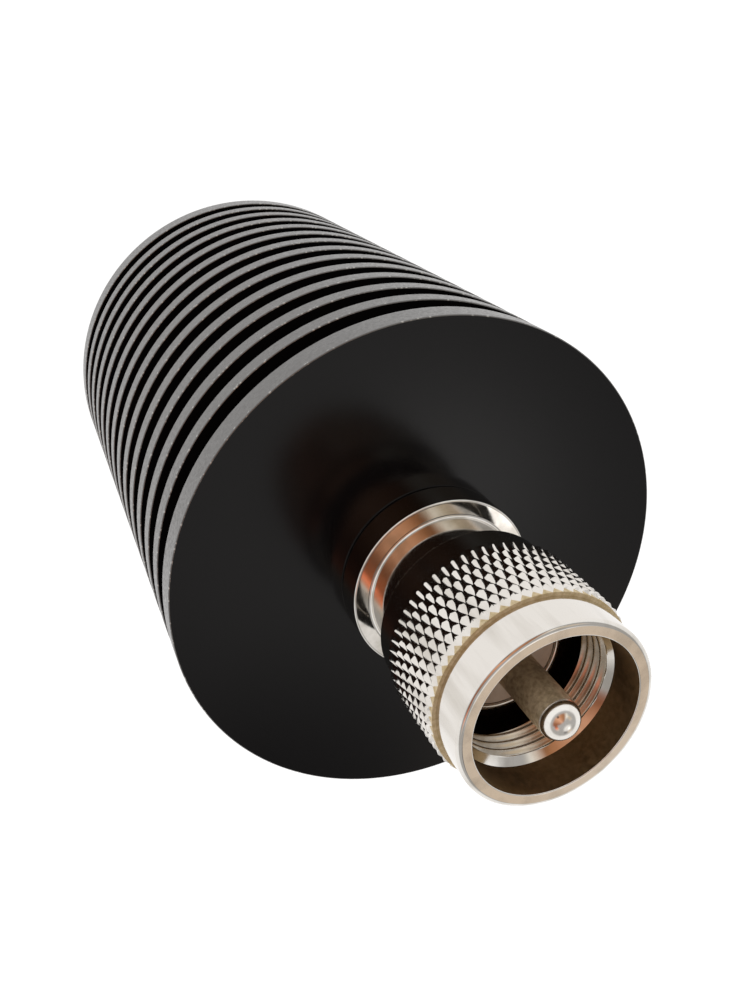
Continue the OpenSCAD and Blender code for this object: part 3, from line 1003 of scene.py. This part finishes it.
@dataclass
class Studio:
    """Pale floor, white tent and the photograph's camera.

    Each sight is an azimuth in degrees and a colour seen there in the tent's opening.
    """

    eye: tuple[float, float, float] = (0.0, -64.85, 152.82)
    aim: tuple[float, float, float] = (-0.72, 0.0, 55.29)
    roll_deg: float = 138.2
    lens: float = 34.25
    floor_r: float = 2500.0
    floor_drop: float = 0.02
    floor_colour: str = "#6c6b6a"
    floor_glow: float = 1.0
    room: float = 1.1
    ceiling: float = 0.5
    lamps: tuple[Lamp, ...] = (Lamp(0, 60, 20, 8, 0.55), Lamp(-8, 54, 7, 0, 0.9), Lamp(18, 46, 9, 3, -0.35))
    far_card: Lamp = Lamp(0, 38, 9, 6, 1.0)
    wall_stops: tuple[tuple[float, str], ...] = ((32, "#ffffff"), (37, "#dbc9b5"))
    eave_deg: tuple[float, float] = (24.0, 31.0)
    opening_deg: tuple[float, float] = (42.0, 30.0)
    belt_deg: tuple[float, ...] = (46.0, 49.0, 58.0, 63.0)
    belt_end_deg: tuple[float, float] = (120.0, 106.0)
    opening_squeeze: float = 0.5
    lens_deg: tuple[float, float] = (8.0, 3.0)
    opening_glow: float = 1.2
    opening_rise_deg: tuple[float, float] = (36.0, 44.0)
    lens_glow: float = 0.04
    seen_from_z: float = 90.0
    sights: tuple[tuple[float, str], ...] = (
        (-125, "#f3efec"), (-103, "#cbbcab"), (-85, "#c9bda9"), (-67, "#f5f0e6"), (-45, "#9a6946"),
        (-29, "#b17c59"), (8, "#e2ab8a"), (56, "#915c40"), (80, "#a05a3a"),
        (90, "#f98f67"), (98, "#f0a080"), (106, "#d8ccc2"),
    )

    def build_camera(self) -> None:
        """Places the camera where the photograph was taken from."""
        data = bpy.data.cameras.new("camera")
        data.lens = self.lens
        data.clip_start = 2 * MM
        camera = bpy.data.objects.new("camera", data)
        eye, aim = Vector(self.eye) * MM, Vector(self.aim) * MM
        level = (aim - eye).to_track_quat("-Z", "Y")
        camera.rotation_mode = "QUATERNION"
        camera.rotation_quaternion = level @ Quaternion((0, 0, 1), math.radians(self.roll_deg))
        camera.location = eye
        bpy.context.scene.collection.objects.link(camera)
        bpy.context.scene.camera = camera

    def build_floor(self) -> None:
        """Lays a pale translucent table, lit a little from below."""
        bm = bmesh.new()
        bmesh.ops.create_circle(bm, cap_ends=True, radius=self.floor_r * MM, segments=96)
        bmesh.ops.translate(bm, vec=(0, 0, CAD_BOX[0].z - self.floor_drop * MM), verts=bm.verts)
        mesh = bpy.data.meshes.new("floor")
        bm.to_mesh(mesh)
        bm.free()
        made = bpy.data.materials.new("opal acrylic table")
        made.use_nodes = True
        shader = made.node_tree.nodes["Principled BSDF"]
        shader.inputs["Base Color"].default_value = linear(self.floor_colour)
        shader.inputs["Roughness"].default_value = 0.8
        shader.inputs["Specular IOR Level"].default_value = 0.1
        shader.inputs["Emission Color"].default_value = linear("#ffffff")
        shader.inputs["Emission Strength"].default_value = self.floor_glow
        mesh.materials.append(made)
        floor = bpy.data.objects.new("floor", mesh)
        bpy.context.scene.collection.objects.link(floor)

    def cone(
        self, tree: NodeTree, way: NodeSocket, toward: Vector, degrees: tuple[float, float]
    ) -> NodeSocket:
        """Marks the directions around one direction.

        Args:
            tree: The world's node tree.
            way: Direction looked at.
            toward: Middle of the cone.
            degrees: Angles from the middle where the mark is zero and where it is one.

        Returns:
            A value from zero to one.
        """
        sides = {0: way, 1: toward.normalized()}
        facing = add_node(tree, "ShaderNodeVectorMath", sides, operation="DOT_PRODUCT").outputs["Value"]
        outer, inner = (math.cos(math.radians(angle)) for angle in degrees)
        span = {"Value": facing, 1: outer, 2: inner}
        return add_node(tree, "ShaderNodeMapRange", span, interpolation_type="SMOOTHSTEP").outputs["Result"]

    def tent(self, tree: NodeTree, way: NodeSocket) -> Node:
        """Makes the tent: white all round, dimmer overhead, with soft lamps and a beige card far off.

        Args:
            tree: The world's node tree.
            way: Direction looked at.

        Returns:
            The tent's shader.
        """
        height = add_node(tree, "ShaderNodeSeparateXYZ", {0: way}).outputs["Z"]
        wall = add_node(tree, "ShaderNodeValToRGB", {"Fac": height})
        paint(wall, [(math.sin(math.radians(degrees)), code) for degrees, code in self.wall_stops])
        white = {"Color": wall.outputs["Color"], "Strength": self.room}
        cloth = add_node(tree, "ShaderNodeBackground", white)
        glow: NodeSocket | float = self.ceiling
        for lamp in self.lamps:
            disc = self.cone(tree, way, lamp.way(), (lamp.edge_deg, lamp.core_deg))
            sums = {0: disc, 1: lamp.glow, 2: glow}
            glow = add_node(tree, "ShaderNodeMath", sums, operation="MULTIPLY_ADD").outputs[0]
        roof = add_node(tree, "ShaderNodeBackground", {"Color": linear("#fffdfb"), "Strength": glow})
        over = self.rise(tree, height, self.eave_deg)
        card = self.cone(tree, way, self.far_card.way(), (self.far_card.edge_deg, self.far_card.core_deg))
        bare = add_node(tree, "ShaderNodeMath", {0: 1.0, 1: card}, operation="SUBTRACT").outputs[0]
        share = add_node(tree, "ShaderNodeMath", {0: over, 1: bare}, operation="MULTIPLY").outputs[0]
        return add_node(tree, "ShaderNodeMixShader", {0: share, 1: cloth.outputs[0], 2: roof.outputs[0]})

    def rise(self, tree: NodeTree, height: NodeSocket, degrees: tuple[float, float]) -> NodeSocket:
        """Marks the directions above a level.

        Args:
            tree: The world's node tree.
            height: Sine of the elevation of the direction looked at.
            degrees: Elevations where the mark is zero and where it is one.

        Returns:
            A value from zero to one.
        """
        low, high = (math.sin(math.radians(angle)) for angle in degrees)
        return add_node(tree, "ShaderNodeMapRange", {"Value": height, 1: low, 2: high}).outputs["Result"]

    def turn(self, tree: NodeTree, way: NodeSocket) -> NodeSocket:
        """Measures the azimuth from the camera's side, towards +X.

        Args:
            tree: The world's node tree.
            way: Direction looked at.

        Returns:
            The azimuth in radians.
        """
        parts = add_node(tree, "ShaderNodeSeparateXYZ", {0: way})
        front = add_node(tree, "ShaderNodeMath", {0: parts.outputs["Y"], 1: -1.0}, operation="MULTIPLY")
        sides = {0: parts.outputs["X"], 1: front.outputs[0]}
        return add_node(tree, "ShaderNodeMath", sides, operation="ARCTAN2").outputs[0]

    def opening(self, tree: NodeTree, way: NodeSocket, toward: Vector) -> Node:
        """Makes what stands in the tent's opening: warm blurred shapes round a dark lens.

        Args:
            tree: The world's node tree.
            way: Direction looked at.
            toward: Direction of the camera.

        Returns:
            The opening's background shader.
        """
        share = add_node(tree, "ShaderNodeMapRange", {"Value": self.turn(tree, way), 1: -math.pi, 2: math.pi})
        ramp = add_node(tree, "ShaderNodeValToRGB", {"Fac": share.outputs["Result"]})
        paint(ramp, [((degrees + 180) / 360, code) for degrees, code in self.sights])
        lens = self.cone(tree, way, toward, self.lens_deg)
        dimming = {"Value": lens, 3: self.opening_glow, 4: self.lens_glow}
        glow = add_node(tree, "ShaderNodeMapRange", dimming).outputs["Result"]
        return add_node(tree, "ShaderNodeBackground", {"Color": ramp.outputs["Color"], "Strength": glow})

    def belt(self, tree: NodeTree, way: NodeSocket, height: NodeSocket) -> NodeSocket:
        """Marks a level belt of the opening, which reaches round to both sides.

        Args:
            tree: The world's node tree.
            way: Direction looked at.
            height: Sine of its elevation.

        Returns:
            A value from zero to one.
        """
        aside = add_node(tree, "ShaderNodeMath", {0: self.turn(tree, way)}, operation="ABSOLUTE").outputs[0]
        far, near = (math.radians(angle) for angle in self.belt_end_deg)
        mark = add_node(tree, "ShaderNodeMapRange", {"Value": aside, 1: far, 2: near}).outputs["Result"]
        for degrees in (self.belt_deg[:2], self.belt_deg[:1:-1]):
            level = self.rise(tree, height, degrees)
            mark = add_node(tree, "ShaderNodeMath", {0: mark, 1: level}, operation="MULTIPLY").outputs[0]
        return mark

    def build_world(self) -> None:
        """Surrounds the object with the tent and its opening on the camera's side."""
        world = bpy.data.worlds.new("white tent")
        world.use_nodes = True
        tree = world.node_tree
        tree.nodes.clear()
        way = add_node(tree, "ShaderNodeTexCoord").outputs["Generated"]
        toward = Vector(self.eye) - Vector((0, 0, self.seen_from_z))
        height = add_node(tree, "ShaderNodeSeparateXYZ", {0: way}).outputs["Z"]
        over = self.rise(tree, height, self.opening_rise_deg)
        squeeze = {0: way, 1: (self.opening_squeeze, 1, 1)}
        narrow = add_node(tree, "ShaderNodeVectorMath", squeeze, operation="MULTIPLY").outputs[0]
        wide = add_node(tree, "ShaderNodeVectorMath", {0: narrow}, operation="NORMALIZE").outputs[0]
        around = self.cone(tree, wide, toward, self.opening_deg)
        gap = add_node(tree, "ShaderNodeMath", {0: around, 1: over}, operation="MULTIPLY").outputs[0]
        belt = self.belt(tree, way, height)
        gap = add_node(tree, "ShaderNodeMath", {0: gap, 1: belt}, operation="MAXIMUM").outputs[0]
        shaders = {0: gap, 1: self.tent(tree, way).outputs[0], 2: self.opening(tree, way, toward).outputs[0]}
        both = add_node(tree, "ShaderNodeMixShader", shaders)
        add_node(tree, "ShaderNodeOutputWorld", {"Surface": both.outputs[0]})
        bpy.context.scene.world = world

    def build(self) -> None:
        """Builds the camera, the floor and the tent, with plain colour."""
        self.build_camera()
        self.build_floor()
        self.build_world()
        bpy.context.scene.view_settings.view_transform = "Standard"
        LOG.info("studio: floor, tent and camera")


def main() -> None:
    """Builds the part and its studio in order."""
    logging.basicConfig(level=logging.INFO, format="%(name)s: %(message)s")
    Studio().build()
    HeatSink(Body.LOAD).build()
    PlugFront(Body.LOAD).build()
    CouplingNut(Body.NUT).build()
    Interior(
        {
            "ceramic_liner": ALUMINA, "resistor_tube": GLAZE, "input_cap": CAPS, "ground_cap": CAPS,
            "spring_washers": SPRINGS, "rear_insulator": PTFE, "nut_retaining_ring": RING_BRASS,
        }
    ).build()


if __name__ == "__main__":
    main()
